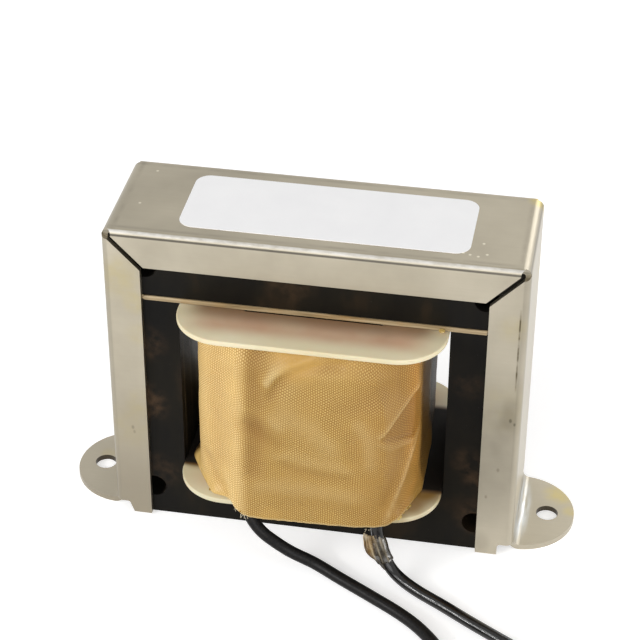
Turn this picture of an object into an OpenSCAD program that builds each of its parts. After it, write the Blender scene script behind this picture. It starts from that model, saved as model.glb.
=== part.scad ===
// Open-frame dc reactor: an iron-core choke held in a folded channel bracket.
// X runs along the bracket, Y to the back, Z up. The origin is on the mounting
// plane, midway between the two mounting holes.

/* [Core] */
// Width of the centre leg, which sets the whole lamination
tongue = 28.575; // [24:0.025:32]
// Depth of the lamination stack, front to back
stack_d = 27.4; // [19.8:0.2:36]
// Thickness of one lamination with its oxide coat
sheet_t = 0.6; // [0.5:0.05:1]
// Width and depth of the groove that each joint between laminations shows
joint_w = 0.12; // [0.06:0.02:0.2]
// Thickness of the spacer that sets the air gap
gap_t = 1; // [0.4:0.1:2]
// How far the spacer stands proud of the core's face
spacer_proud = 0.3; // [0.1:0.1:0.8]
// Bolt holes through the corners of the core
bolt_hole_d = 5.4; // [3:0.2:7]
// Height of the core's underside above the mounting plane
core_lift = 0.2; // [0:0.1:1]
// Width of the step that clears the laminations' lower corners
corner_cut = 2.8; // [1.5:0.1:4]

/* [Channel bracket] */
// Thickness of the bracket's sheet
metal_t = 1.25; // [0.8:0.05:2]
// Clearance beside and above the core, and inner radius of the long bends
core_clear = 0.2; // [0.1:0.05:0.5]
// Width of the flange along the top
flange_top = 8.3; // [5:0.1:12]
// Width of the flanges down the sides
flange_side = 8; // [5:0.1:12]
// Width of the open mitres at the upper corners
mitre_gap = 1.1; // [0.4:0.1:2]
// Diameter of the relief that ends each mitre
relief_d = 2.1; // [1.2:0.1:2.8]
// Distance between the two mounting holes
hole_spacing = 101.6; // [98:0.1:112]
// Diameter of the mounting holes
hole_d = 4.8; // [3:0.1:6]
// Metal between a mounting hole's centre and the foot's tip
foot_margin = 6; // [4.5:0.1:10]
// Radius of the foot's rounded end, half the foot's width
foot_r = 12.1; // [8:0.1:12.4]
// Radius in the hollow of the bend between web and foot
foot_bend_r = 1.5; // [0.5:0.1:2.5]
// Width of the notch that frees each foot from its flanges
notch_w = 3.3; // [2:0.1:5]
// Height of that notch above the mounting plane
notch_h = 3; // [2.8:0.1:6]
// How much wider the left notch is at its foot
notch_lean = 0.8; // [0.1:0.1:2]

/* [Bobbin] */
// Wall of the bobbin's tube
bobbin_wall = 1.2; // [0.8:0.1:2]
// Clearance between the tube and the centre leg
tube_clear = 0.25; // [0.1:0.05:0.8]
// Thickness of the bobbin's flanges
bobbin_flange_t = 1.2; // [0.8:0.1:2]
// How far the flanges reach out of the core, front and back
bobbin_reach = 12.2; // [9:0.1:16]
// Radius of the flanges' corners
bobbin_corner_r = 10.5; // [4:0.5:14]
// Clearance between the bobbin and the core's window
window_clear = 0.2; // [0.1:0.05:0.8]

/* [Coil] */
// How far the winding stays inside the flanges' edges at the sides
recess_side = 6.2; // [4.8:0.1:8]
// How far the winding stays inside the flanges' edges, front and back
recess_end = 3.1; // [2.8:0.1:6]
// Radius of the winding's outer corners
coil_corner_r = 8; // [3:0.5:10]
// Thickness of the film wrapped straight on the winding
film_t = 0.3; // [0.1:0.05:0.6]
// Thickness of the varnished cloth tape outside
tape_t = 0.6; // [0.3:0.05:1]
// How far the tape hangs below the bobbin's lower flange in front
skirt_drop = 1.6; // [0.4:0.1:3]
// Radius of the tape's front corners, where it swells over the leads
swell_r = 6.5; // [6:0.1:9]
// Soft clearance between the layers round the coil
soft_clear = 0.05; // [0.02:0.01:0.15]

/* [Leads] */
// Outer diameter of the leads
lead_d = 2.7; // [2:0.1:3]
// Where the left lead leaves the coil
lead_left_x = -12; // [-16:0.5:-8]
// Where the right lead leaves the coil
lead_right_x = 15.5; // [10:0.5:17]
// Height of the lead's upper end, under the tape
lead_top = 30; // [24:0.5:34]
// Diameter of the soldered splices
splice_d = 1.8; // [1:0.1:2.2]
// Length of the splices
splice_len = 8; // [5:0.5:11]
// Width of the folded patch round each splice
patch_w = 4; // [3:0.5:5.5]
// Diameter of the stripped and tinned ends
tip_d = 1.3; // [0.8:0.1:1.6]
// Length of the stripped ends
tip_len = 6; // [3:0.5:8]
// Outer radius of the round coil that takes up each lead
coil_out_r = 16.9; // [16:0.1:17.2]
// Width of that coil's ring of turns
coil_band = 6.4; // [5.8:0.1:7]
// Thickness of the varnish-stiff sleeve left on the right lead
sleeve_t = 0.4; // [0.2:0.05:0.6]

/* [Label] */
// Length of the label
label_w = 60.5; // [40:0.5:74]
// Depth of the label
label_d = 21; // [10:1:26]
// Radius of the label's corners
label_r = 3.2; // [0.5:0.1:5]
// Thickness of the label
label_t = 0.1; // [0.05:0.01:0.2]
// Offset of the label's centre along the bracket
label_shift = 1; // [-4:0.1:4]

/* [Hidden] */
$fn = 64;
big = 200;

// Scrapless E and I lamination: legs and yokes are half a tongue wide
lam_w = 3 * tongue;
leg_w = tongue / 2;
e_h = 2 * tongue;
sheets = round(stack_d / sheet_t);
pitch = stack_d / sheets;
e_top = core_lift + e_h;
i_bottom = e_top + gap_t;
i_top = i_bottom + leg_w;

// The bracket folds round the core
bracket_w = lam_w + 2 * (core_clear + metal_t);
bracket_d = stack_d + 2 * metal_t;
bracket_h = i_top + core_clear + metal_t;
flange_bend_r = core_clear + metal_t;
corner_in_r = 3 * core_clear;
corner_out_r = corner_in_r + metal_t;
relief_inset = 1.1;
notch_r = 0.8;
cut_h = notch_h - core_lift + 0.1;
foot_tip = hole_spacing / 2 + foot_margin;
foot_bend_z = metal_t + foot_bend_r;
foot_bend_x = bracket_w / 2 + foot_bend_r;

// The bobbin stands on the lower yoke, round the centre leg
bobbin_z0 = core_lift + leg_w + window_clear;
bobbin_z1 = e_top - window_clear;
tube_in_x = tongue / 2 + tube_clear;
tube_in_y = stack_d / 2 + tube_clear;
tube_x = tube_in_x + bobbin_wall;
tube_y = tube_in_y + bobbin_wall;
flange_x = tongue - window_clear;
flange_y = stack_d / 2 + bobbin_reach;
coil_z0 = bobbin_z0 + bobbin_flange_t;
coil_z1 = bobbin_z1 - bobbin_flange_t;

// Layers round the winding, from the inside out
wind_x = flange_x - recess_side;
wind_y = flange_y - recess_end;
film_x = wind_x + film_t;
film_y = wind_y + film_t;
film_r = coil_corner_r + film_t;
lead_r = lead_d / 2;
lead_sides = 8;
lead_y = -(film_y + lead_r + soft_clear);
tape_in_x = film_x + soft_clear;
tape_in_y = film_y + soft_clear;
tape_in_r = film_r + soft_clear;
lead_xs = [lead_left_x, lead_right_x];
slot_w = lead_d + 4 * soft_clear;
skirt_y = max(flange_y, lead_r - lead_y) + soft_clear;
skirt_z = bobbin_z0 - skirt_drop;
splice_z = lead_top + splice_len / 2;
patch_over = 1.5;
patch_z1 = lead_top + splice_len + patch_over;
patch_r = lead_r / 2;
tail_d = 0.6;
tail_y = (tube_y + wind_y) / 2;
pad_ease = 0.5;
pad_lift = 1;
spacer_ease = 0.3;

// Routes of the leads over the surface, from under the tape to their coils
rest_z = lead_r + soft_clear;
left_route = [
    [lead_left_x, lead_y, lead_top], [lead_left_x, lead_y, 24], [lead_left_x, lead_y, 18],
    [lead_left_x, lead_y, 12.8], [-11.2, -25.1, 10.7], [-8.9, -26, 8.3], [-5.8, -26.1, 5.8],
    [-2.2, -26.3, 3.7], [2.9, -27.1, 2.1], [9.4, -30.4, rest_z], [16.6, -34.7, rest_z],
    [23, -38.7, rest_z], [27.8, -42.5, rest_z], [32.2, -47.4, rest_z], [36.3, -53.4, rest_z],
    [40.5, -60.5, rest_z]
];
right_route = [
    [lead_right_x, lead_y, lead_top], [lead_right_x, lead_y, 24], [lead_right_x, lead_y, 18],
    [lead_right_x, lead_y, 12.8], [15.8, -24.9, 10.4], [16.8, -25.7, 7.6], [18.6, -26.7, 4.2],
    [21.4, -28.3, 2.2], [25.7, -31, rest_z], [31.9, -34.8, rest_z], [38, -38.7, rest_z],
    [44.6, -42.7, rest_z], [51, -46.5, rest_z], [57.3, -50.2, rest_z], [63.4, -53.8, rest_z],
    [69.6, -57.5, rest_z]
];
left_coil = [27, -68.3];
right_coil = [61.6, -70.8];
coil_in_r = coil_out_r - coil_band;
coil_h = lead_d + 2 * soft_clear;
left_tip_turn = 290;
right_tip_turn = 315;
tip_lean = 24;
sleeve_from = 4;
sleeve_to = 6;
sleeve_a = 70;
sleeve_b = 290;
aside = [0.5, 0.87, 0];

function unit(v) = v / norm(v);
function heading(path, i) =
    i == 0 ? unit(path[1] - path[0])
    : i == len(path) - 1 ? unit(path[i] - path[i - 1])
    : unit(unit(path[i + 1] - path[i]) + unit(path[i] - path[i - 1]));
function side_of(t) = unit(cross(t, aside));

// Sweeps a closed section along a path: its first half and its second half mirror each other
module sweep(path, section) {
    n = len(section);
    last = len(path) - 1;
    points = [
        for (i = [0:last]) let (t = heading(path, i), s = side_of(t), u = cross(s, t))
            for (p = section) path[i] + p[0] * s + p[1] * u
    ];
    sides = [
        for (i = [0:last - 1], j = [0:n - 1])
            let (a = i * n + j, b = i * n + (j + 1) % n)
                each [[a, b, b + n], [a, b + n, a + n]]
    ];
    front = [for (k = [0:n / 2 - 2]) [n - 1 - k, n - 2 - k, k + 1, k]];
    back = [for (q = front) [for (k = [3:-1:0]) last * n + q[k]]];
    polyhedron(points, concat(front, sides, back), convexity = 6);
}

function ring(r, n) = [for (j = [0:n - 1]) r * [cos(360 * (j + 0.5) / n), sin(360 * (j + 0.5) / n)]];
function arc(r, a, b, n) = [for (j = [0:n]) let (q = a + (b - a) * j / n) r * [cos(q), sin(q)]];

// Extrudes an outline drawn in X and Z along Y, centred on the core
module along_y(len) {
    rotate([90, 0, 0])
        translate([0, 0, -len / 2])
            linear_extrude(len)
                children();
}

// Extrudes an outline drawn in Y and Z along X
module along_x(len) {
    rotate([90, 0, 90])
        translate([0, 0, -len / 2])
            linear_extrude(len)
                children();
}

// Rectangle about the origin with four round corners
module round_rect(x, y, r) {
    square([2 * x, 2 * (y - r)], center = true);
    square([2 * (x - r), 2 * y], center = true);
    for (i = [-1, 1], j = [-1, 1])
        translate([i * (x - r), j * (y - r)])
            circle(r);
}

// Upright outline with square feet and two round upper corners
module arch(half_w, z0, z1, r) {
    translate([-half_w, z0])
        square([2 * half_w, z1 - r - z0]);
    translate([-half_w + r, z0])
        square([2 * (half_w - r), z1 - z0]);
    for (i = [-1, 1])
        translate([i * (half_w - r), z1 - r])
            circle(r);
}

// Solid with rounded upright edges and rounded upper edges
module block(half_w, half_d, z0, z1, r_edge, r_corner) {
    intersection() {
        translate([0, 0, z0])
            linear_extrude(z1 - z0)
                round_rect(half_w, half_d, r_edge);
        along_x(2 * half_w + 2)
            arch(half_d, z0, z1, r_edge);
        along_y(2 * half_d + 2)
            arch(half_w, z0, z1, r_corner);
    }
}

// The folded sheet before its mitres, notches and feet
module folded_shell() {
    difference() {
        block(bracket_w / 2, bracket_d / 2, core_lift, bracket_h, flange_bend_r, corner_out_r);
        block(bracket_w / 2 - metal_t, stack_d / 2, core_lift - 1, bracket_h - metal_t,
            core_clear, corner_in_r);
        translate([0, 0, (core_lift - 1 + bracket_h - flange_top) / 2])
            cube([bracket_w - 2 * flange_side, big, bracket_h - flange_top - core_lift + 1], center = true);
    }
}

// Open mitres between the flanges of one corner, with the relief drilled at their outer end
module mitre() {
    run = [flange_side - relief_inset, flange_top - relief_inset];
    reach = norm(run);
    deep = 2 * (metal_t + core_clear);
    for (j = [-1, 1])
        translate([bracket_w / 2 - relief_inset, j * bracket_d / 2, bracket_h - relief_inset]) {
            rotate([90, 0, 0])
                cylinder(d = relief_d, h = deep, center = true);
            rotate([0, -90 - atan2(run[1], run[0]), 0])
                translate([0, 0, reach / 2])
                    cube([mitre_gap, deep, reach + mitre_gap], center = true);
        }
}

// Notch through both flanges that frees the foot, seen from the front
module notch(lean) {
    x0 = bracket_w / 2 - notch_w;
    along_y(bracket_d + 2) {
        polygon([[x0, notch_h - notch_r], [x0 - lean, 0], [x0 - lean, -1], [x0 + notch_r, -1],
            [x0 + notch_r, notch_h - notch_r]]);
        translate([x0, -1])
            square([notch_w + 1, notch_h + 1 - notch_r]);
        translate([x0 + notch_r, -1])
            square([notch_w + 1 - notch_r, notch_h + 1]);
        translate([x0 + notch_r, notch_h - notch_r])
            circle(notch_r);
    }
}

// Side view of a foot: web, bend and flat
module foot_side() {
    translate([bracket_w / 2 - metal_t, foot_bend_z])
        square([metal_t, notch_h - foot_bend_z + metal_t]);
    translate([foot_bend_x, 0])
        square([foot_tip - foot_bend_x, metal_t]);
    intersection() {
        translate([bracket_w / 2 - metal_t, 0])
            square([foot_bend_r + metal_t, foot_bend_z]);
        difference() {
            translate([foot_bend_x, foot_bend_z])
                circle(foot_bend_r + metal_t);
            translate([foot_bend_x, foot_bend_z])
                circle(foot_bend_r);
        }
    }
}

module foot() {
    intersection() {
        along_y(2 * foot_r)
            foot_side();
        linear_extrude(notch_h + metal_t) {
            translate([bracket_w / 2 - 2 * metal_t, -foot_r])
                square([foot_tip - foot_r - bracket_w / 2 + 2 * metal_t, 2 * foot_r]);
            translate([foot_tip - foot_r, 0])
                circle(foot_r);
        }
    }
}

module channel_bracket() {
    color("#b4aa96")
        difference() {
            union() {
                difference() {
                    folded_shell();
                    for (i = [0, 1])
                        mirror([i, 0, 0]) {
                            mitre();
                            notch(i * notch_lean);
                        }
                }
                for (i = [0, 1])
                    mirror([i, 0, 0])
                        foot();
            }
            for (i = [-1, 1])
                translate([i * hole_spacing / 2, 0, -1])
                    cylinder(d = hole_d, h = metal_t + 2);
        }
}

// Outline of an E lamination, drawn in by an inset g all round
function e_outline(g) = [
    [-1.5 * tongue + g, cut_h + g], [-1.5 * tongue + corner_cut + g, cut_h + g],
    [-1.5 * tongue + corner_cut + g, g], [1.5 * tongue - corner_cut - g, g],
    [1.5 * tongue - corner_cut - g, cut_h + g], [1.5 * tongue - g, cut_h + g],
    [1.5 * tongue - g, e_h - g], [tongue + g, e_h - g],
    [tongue + g, leg_w - g], [leg_w - g, leg_w - g],
    [leg_w - g, e_h - g], [-leg_w + g, e_h - g],
    [-leg_w + g, leg_w - g], [-tongue - g, leg_w - g],
    [-tongue - g, e_h - g], [-1.5 * tongue + g, e_h - g]
];

function i_outline(g) = [
    [-1.5 * tongue + g, g], [1.5 * tongue - g, g],
    [1.5 * tongue - g, leg_w - g], [-1.5 * tongue + g, leg_w - g]
];

// A stack of sheets: one body, with a groove all round at each joint
module stack(full, inner, wide, hole_z) {
    difference() {
        along_y(stack_d)
            polygon(full);
        for (k = [1:sheets - 1])
            translate([0, k * pitch - stack_d / 2, 0])
                along_y(joint_w)
                    difference() {
                        polygon(wide);
                        polygon(inner);
                    }
        for (i = [-1, 1])
            translate([i * (lam_w - leg_w) / 2, 0, hole_z])
                rotate([90, 0, 0])
                    cylinder(d = bolt_hole_d, h = stack_d + 2, center = true);
    }
}

module e_stack() {
    color("#1d1b19")
        translate([0, 0, core_lift])
            stack(e_outline(0), e_outline(joint_w), e_outline(-joint_w), leg_w / 2);
}

module i_stack() {
    color("#1d1b19")
        translate([0, 0, i_bottom])
            stack(i_outline(0), i_outline(joint_w), i_outline(-joint_w), leg_w / 2);
}

// One sheet across all three legs; it stands proud between the side flanges
module gap_spacer() {
    proud_w = bracket_w - 2 * (flange_side + spacer_ease);
    color("#b8a27c")
        translate([0, 0, e_top + gap_t / 2]) {
            cube([lam_w, stack_d, gap_t], center = true);
            cube([proud_w, stack_d + 2 * spacer_proud, gap_t], center = true);
        }
}

module bobbin_flange() {
    linear_extrude(bobbin_flange_t)
        difference() {
            round_rect(flange_x, flange_y, bobbin_corner_r);
            square([2 * tube_in_x, 2 * tube_in_y], center = true);
        }
}

module bobbin() {
    color("#e6dcc3")
        difference() {
            union() {
                translate([0, 0, bobbin_z0])
                    bobbin_flange();
                translate([0, 0, coil_z1])
                    bobbin_flange();
                translate([0, 0, bobbin_z0])
                    linear_extrude(bobbin_z1 - bobbin_z0)
                        difference() {
                            square([2 * tube_x, 2 * tube_y], center = true);
                            square([2 * tube_in_x, 2 * tube_in_y], center = true);
                        }
            }
            for (x = lead_xs)
                lead_slot(x);
        }
}

// Slot with a round bottom in the lower flange, where a lead passes
module lead_slot(x) {
    translate([x, lead_y, bobbin_z0 - 1]) {
        cylinder(d = slot_w, h = bobbin_flange_t + 2);
        translate([-slot_w / 2, -lead_d - bobbin_reach, 0])
            cube([slot_w, lead_d + bobbin_reach, bobbin_flange_t + 2]);
    }
}

module ring_wall(x, y, r, t, z0, z1) {
    translate([0, 0, z0])
        linear_extrude(z1 - z0)
            difference() {
                round_rect(x, y, r);
                round_rect(x - t, y - t, r - t);
            }
}

// Wire pack with the two tails that come out through the film
module winding() {
    color("#b5652d") {
        translate([0, 0, coil_z0])
            linear_extrude(coil_z1 - coil_z0)
                difference() {
                    round_rect(wind_x, wind_y, coil_corner_r);
                    square([2 * tube_x, 2 * tube_y], center = true);
                }
        for (x = lead_xs)
            translate([x, -tail_y, splice_z])
                rotate([90, 0, 0])
                    cylinder(d = tail_d, h = -lead_y - splice_d / 2 - tail_y);
    }
}

module inner_wrap() {
    color("#c9b48a")
        difference() {
            ring_wall(film_x, film_y, film_r, film_t, coil_z0, coil_z1);
            for (x = lead_xs)
                translate([x, -tail_y, splice_z])
                    rotate([90, 0, 0])
                        cylinder(d = tail_d + 2 * soft_clear, h = film_y + film_t - tail_y);
        }
}

// Outline of the tape where it lies over the leads, grown by g
module tape_outline(g) {
    x = tape_in_x + g;
    front = skirt_y + g;
    back = tape_in_y + g;
    front_r = swell_r + g;
    back_r = tape_in_r + g;
    translate([-x, front_r - front])
        square([2 * x, front - front_r + back - back_r]);
    translate([front_r - x, -front])
        square([2 * (x - front_r), front_r]);
    translate([back_r - x, back - back_r])
        square([2 * (x - back_r), back_r]);
    for (i = [-1, 1]) {
        translate([i * (x - front_r), front_r - front])
            circle(front_r);
        translate([i * (x - back_r), back - back_r])
            circle(back_r);
    }
}

// Body of the tape from height low to high, whose front leans in above the splices
module tape_body(g, low, high) {
    lean_z = patch_z1 + patch_over;
    lean = atan2(skirt_y - tape_in_y, coil_z1 - lean_z);
    difference() {
        translate([0, 0, low])
            linear_extrude(high - low)
                tape_outline(g);
        translate([0, -skirt_y - g, lean_z])
            rotate([-lean, 0, 0])
                translate([-big / 2, -big, -big / 2])
                    cube(big);
    }
}

// Tape round the coil, cut away behind the skirt that hangs over the flange in front
module outer_wrap() {
    low = coil_z0 + soft_clear;
    high = coil_z1 - soft_clear;
    color("#d2ab6c")
        difference() {
            tape_body(tape_t, skirt_z, high);
            tape_body(0, skirt_z - 1, high + 1);
            translate([-big / 2, -flange_y - soft_clear / 2, skirt_z - 1])
                cube([big, big, low - skirt_z + 1]);
        }
}

// Pad that fills the space between the two leads, under the tape
module lead_pad() {
    half = (lead_right_x - lead_left_x - patch_w) / 2 - pad_ease;
    deep = -lead_y - film_y + lead_r - 2 * soft_clear;
    color("#d8c9a4")
        translate([(lead_left_x + lead_right_x) / 2, -film_y - soft_clear, coil_z0 + pad_lift])
            linear_extrude(patch_z1 - coil_z0 - pad_lift)
                translate([0, -deep / 2])
                    round_rect(half, deep / 2, deep / 3);
}

module splice(x) {
    color("#c8c8c6")
        translate([x, lead_y, lead_top])
            cylinder(d = splice_d, h = splice_len);
}

module splice_left() {
    splice(lead_left_x);
}

module splice_right() {
    splice(lead_right_x);
}

// Folded patch closed over a splice, with the wire's tail coming in behind
module splice_cover(x) {
    color("#cbb37c")
        difference() {
            translate([x, lead_y, lead_top + soft_clear])
                linear_extrude(patch_z1 - lead_top - soft_clear)
                    round_rect(patch_w / 2, lead_r, patch_r);
            translate([x, lead_y, lead_top - 1])
                cylinder(d = splice_d + 2 * soft_clear, h = splice_len + 1 + soft_clear);
            translate([x, lead_y, splice_z])
                rotate([-90, 0, 0])
                    cylinder(d = tail_d + 2 * soft_clear, h = lead_d);
        }
}

module splice_cover_left() {
    splice_cover(lead_left_x);
}

module splice_cover_right() {
    splice_cover(lead_right_x);
}

module lead_left() {
    color("#17171a")
        difference() {
            sweep(left_route, ring(lead_r, lead_sides));
            lead_coil(left_coil);
        }
}

module lead_right() {
    color("#17171a")
        difference() {
            sweep(right_route, ring(lead_r, lead_sides));
            lead_coil(right_coil);
        }
}

module lead_coil(at) {
    color("#17171a")
        translate([at[0], at[1], 0])
            rotate_extrude()
                translate([coil_in_r, 0])
                    square([coil_band, coil_h]);
}

module lead_left_coil() {
    lead_coil(left_coil);
}

module lead_right_coil() {
    lead_coil(right_coil);
}

// Stripped end, which leaves the ring's inner wall at a lean from its tangent
module lead_tip(at, turn) {
    color("#c9c6bd")
        difference() {
            translate([at[0], at[1], rest_z])
                rotate([0, 0, turn])
                    translate([coil_in_r, 0, 0])
                        rotate([0, 0, -90 - tip_lean])
                            rotate([0, 90, 0])
                                translate([0, 0, -lead_d])
                                    cylinder(d = tip_d, h = tip_len + lead_d);
            lead_coil(at);
        }
}

module lead_left_tip() {
    lead_tip(left_coil, left_tip_turn);
}

module lead_right_tip() {
    lead_tip(right_coil, right_tip_turn);
}

// Stiff torn sleeve round part of the right lead, open along one side
module lead_sleeve() {
    inner = lead_r / cos(180 / lead_sides) + soft_clear;
    section = concat(arc(inner + sleeve_t, sleeve_a, sleeve_b, 8), arc(inner, sleeve_b, sleeve_a, 8));
    path = [for (i = [sleeve_from:sleeve_to]) right_route[i]];
    color("#6b4f2c")
        sweep(path, section);
}

module label() {
    color("#f2f1ee")
        translate([label_shift, 0, bracket_h])
            linear_extrude(label_t)
                round_rect(label_w / 2, label_d / 2, label_r);
}

channel_bracket();
e_stack();
i_stack();
gap_spacer();
bobbin();
winding();
inner_wrap();
outer_wrap();
lead_pad();
splice_left();
splice_right();
splice_cover_left();
splice_cover_right();
lead_left();
lead_right();
lead_left_coil();
lead_right_coil();
lead_left_tip();
lead_right_tip();
lead_sleeve();
label();
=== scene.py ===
import math, random
import bpy, bmesh
from mathutils import Matrix, Vector, noise


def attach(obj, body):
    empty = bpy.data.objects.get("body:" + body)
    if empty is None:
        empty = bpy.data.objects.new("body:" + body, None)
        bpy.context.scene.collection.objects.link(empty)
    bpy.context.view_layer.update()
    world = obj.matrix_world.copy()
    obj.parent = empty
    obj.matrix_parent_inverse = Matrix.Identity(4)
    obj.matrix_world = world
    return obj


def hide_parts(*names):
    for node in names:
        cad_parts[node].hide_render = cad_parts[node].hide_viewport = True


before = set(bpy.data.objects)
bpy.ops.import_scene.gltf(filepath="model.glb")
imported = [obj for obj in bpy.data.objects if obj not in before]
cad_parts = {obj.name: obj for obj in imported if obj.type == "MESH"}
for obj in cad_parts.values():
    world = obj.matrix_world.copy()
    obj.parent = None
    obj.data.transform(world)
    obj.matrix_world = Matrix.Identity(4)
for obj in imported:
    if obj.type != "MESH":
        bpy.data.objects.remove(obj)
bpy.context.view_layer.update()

mm = 0.001

# Camera, fitted to the bracket's edges, in millimetres and pixels
cameraSet = {
    "place": (62.39, -361.51, 299.24),
    "right": (0.98436, 0.17612, 0.00505),
    "up": (-0.10336, 0.55398, 0.82609),
    "back": (0.14269, -0.81369, 0.56352),
    "focal": 2073.14, "picture": 640, "sensor": 36, "axisRow": 313,
    "near": 0.02, "far": 20,
}


def addCamera(s):
    bpy.ops.object.camera_add()
    camera = bpy.context.object
    camera.name = "camera"
    turn = Matrix((s["right"], s["up"], s["back"])).transposed()
    camera.matrix_world = Matrix.Translation(Vector(s["place"]) * mm) @ turn.to_4x4()
    lens = camera.data
    lens.sensor_width = s["sensor"]
    lens.lens = s["focal"] / s["picture"] * s["sensor"]
    lens.shift_y = (s["axisRow"] - s["picture"] / 2) / s["picture"]
    lens.clip_start, lens.clip_end = s["near"], s["far"]
    bpy.context.scene.camera = camera


addCamera(cameraSet)
print("camera placed")


# Small helpers for meshes

def makeActive(piece):
    bpy.ops.object.select_all(action="DESELECT")
    piece.select_set(True)
    bpy.context.view_layer.objects.active = piece


def applyModifiers(piece):
    makeActive(piece)
    for modifier in list(piece.modifiers):
        bpy.ops.object.modifier_apply(modifier=modifier.name)


def smooth(piece, degrees=40):
    makeActive(piece)
    bpy.ops.object.shade_smooth_by_angle(angle=math.radians(degrees))


def fromBmesh(name, mesh):
    data = bpy.data.meshes.new(name)
    mesh.to_mesh(data)
    mesh.free()
    piece = bpy.data.objects.new(name, data)
    bpy.context.scene.collection.objects.link(piece)
    return piece


def pourInto(whole, piece):
    whole.from_mesh(piece.data)
    bpy.data.objects.remove(piece)


def finishPiece(piece, material, slot, *nodes):
    piece.data.materials.clear()
    piece.data.materials.append(material)
    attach(piece, "root")
    if nodes:
        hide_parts(*nodes)


# Smooth line through given points, at even steps
def smoothLine(points, step):
    pts = [Vector(p) for p in points]
    pts = [2 * pts[0] - pts[1]] + pts + [2 * pts[-1] - pts[-2]]
    dense = []
    for i in range(1, len(pts) - 2):
        a, b, c, d = pts[i - 1:i + 3]
        count = max(2, int((c - b).length / step * 4))
        for k in range(count):
            t = k / count
            dense.append(0.5 * (2 * b + (c - a) * t + (2 * a - 5 * b + 4 * c - d) * t * t
                                + (3 * b - a - 3 * c + d) * t ** 3))
    dense.append(pts[-2])
    line, gone = [dense[0]], 0
    for a, b in zip(dense, dense[1:]):
        gone += (b - a).length
        if gone >= step:
            line.append(b)
            gone = 0
    if (line[-1] - dense[-1]).length > step / 3:
        line.append(dense[-1])
    else:
        line[-1] = dense[-1]
    return line


# Rings along a line; radius and shape may change on the way
def sweep(name, line, radius, sides, shape=None):
    mesh = bmesh.new()
    uv = mesh.loops.layers.uv.new("UVMap")
    ahead = (line[1] - line[0]).normalized()
    side = ahead.cross(Vector((0.3, 0.9, 0.2))).normalized()
    rings, along, gone = [], [], 0
    for i, p in enumerate(line):
        a, b = line[max(i - 1, 0)], line[min(i + 1, len(line) - 1)]
        ahead = (b - a).normalized()
        side = (side - ahead * side.dot(ahead)).normalized()
        up = ahead.cross(side)
        r = radius(i / (len(line) - 1)) if callable(radius) else radius
        ring = []
        for k in range(sides):
            q = 2 * math.pi * k / sides
            swell = shape(gone, q) if shape else 1
            ring.append(mesh.verts.new(p + (side * math.cos(q) + up * math.sin(q)) * r * swell))
        rings.append(ring)
        along.append(gone)
        if i + 1 < len(line):
            gone += (line[i + 1] - p).length
    for i in range(len(line) - 1):
        for k in range(sides):
            n = (k + 1) % sides
            face = mesh.faces.new((rings[i][k], rings[i][n], rings[i + 1][n], rings[i + 1][k]))
            spots = ((i, k), (i, k + 1), (i + 1, k + 1), (i + 1, k))
            for loop, (row, column) in zip(face.loops, spots):
                loop[uv].uv = (along[row], column / sides)
    mesh.faces.new(list(reversed(rings[0])))
    mesh.faces.new(rings[-1])
    return fromBmesh(name, mesh)


# Material helpers. Most find their node tree from the sockets that they are given

def newMaterial(name, **plain):
    material = bpy.data.materials.new(name)
    material.use_nodes = True
    shader = material.node_tree.nodes["Principled BSDF"]
    for key, value in plain.items():
        shader.inputs[key.replace("_", " ")].default_value = value
    return material, shader, place(shader)


def addNode(tree, kind, values=None, links=None, **settings):
    node = tree.nodes.new("ShaderNode" + kind)
    for key, value in settings.items():
        setattr(node, key, value)
    for key, value in (values or {}).items():
        node.inputs[key].default_value = value
    for key, source in (links or {}).items():
        tree.links.new(source, node.inputs[key])
    return node


def place(shader, kind="Object"):
    return addNode(shader.id_data, "TexCoord").outputs[kind]


def feed(node, **sources):
    for key, source in sources.items():
        node.id_data.links.new(source, node.inputs[key.replace("_", " ")])


def plug(value, socket):
    # the value is a number, a colour or another node's socket
    if isinstance(value, (int, float)):
        socket.default_value = value
    elif isinstance(value, tuple):
        socket.default_value = (*value, 1)
    else:
        socket.id_data.links.new(value, socket)


def treeOf(*values):
    return next(value.id_data for value in values if hasattr(value, "id_data"))


def calc(operation, *values):
    node = addNode(treeOf(*values), "Math", operation=operation)
    for value, socket in zip(values, node.inputs):
        plug(value, socket)
    return node.outputs[0]


def times(product, *factors):
    for factor in factors:
        product = calc("MULTIPLY", product, factor)
    return product


def axes(source):
    return addNode(treeOf(source), "SeparateXYZ", links={"Vector": source}).outputs


def stretch(source, scale):
    return addNode(treeOf(source), "Mapping", {"Scale": scale}, {"Vector": source}).outputs[0]


def cloud(source, scale, detail=4, rough=0.5):
    return addNode(treeOf(source), "TexNoise", {"Scale": scale, "Detail": detail, "Roughness": rough},
                   {"Vector": source}).outputs["Fac"]


def ramp(factor, *stops):
    node = addNode(treeOf(factor), "ValToRGB", links={"Fac": factor})
    steps = node.color_ramp.elements
    while len(steps) < len(stops):
        steps.new(0.5)
    for step, (at, color) in zip(steps, stops):
        step.position = at
        step.color = (*color, 1) if hasattr(color, "__len__") else (color, color, color, 1)
    return node.outputs["Color"]


def blend(factor, a, b, kind="MIX"):
    node = addNode(treeOf(factor, a, b), "Mix", data_type="RGBA", blend_type=kind)
    for value, socket in ((factor, 0), (a, 6), (b, 7)):
        plug(value, node.inputs[socket])
    return node.outputs[2]


def tinted(base, tint):
    return blend(1.0, base, tint, "MULTIPLY")


def bump(shader, height, distance, strength):
    node = addNode(shader.id_data, "Bump", {"Distance": distance, "Strength": strength}, {"Height": height})
    feed(shader, Normal=node.outputs[0])


# From 0 at the start value to 1 at the end value
def rise(value, start, end, **settings):
    return addNode(treeOf(value), "MapRange", {"From Min": start, "From Max": end}, {"Value": value},
                   **settings).outputs[0]


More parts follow.
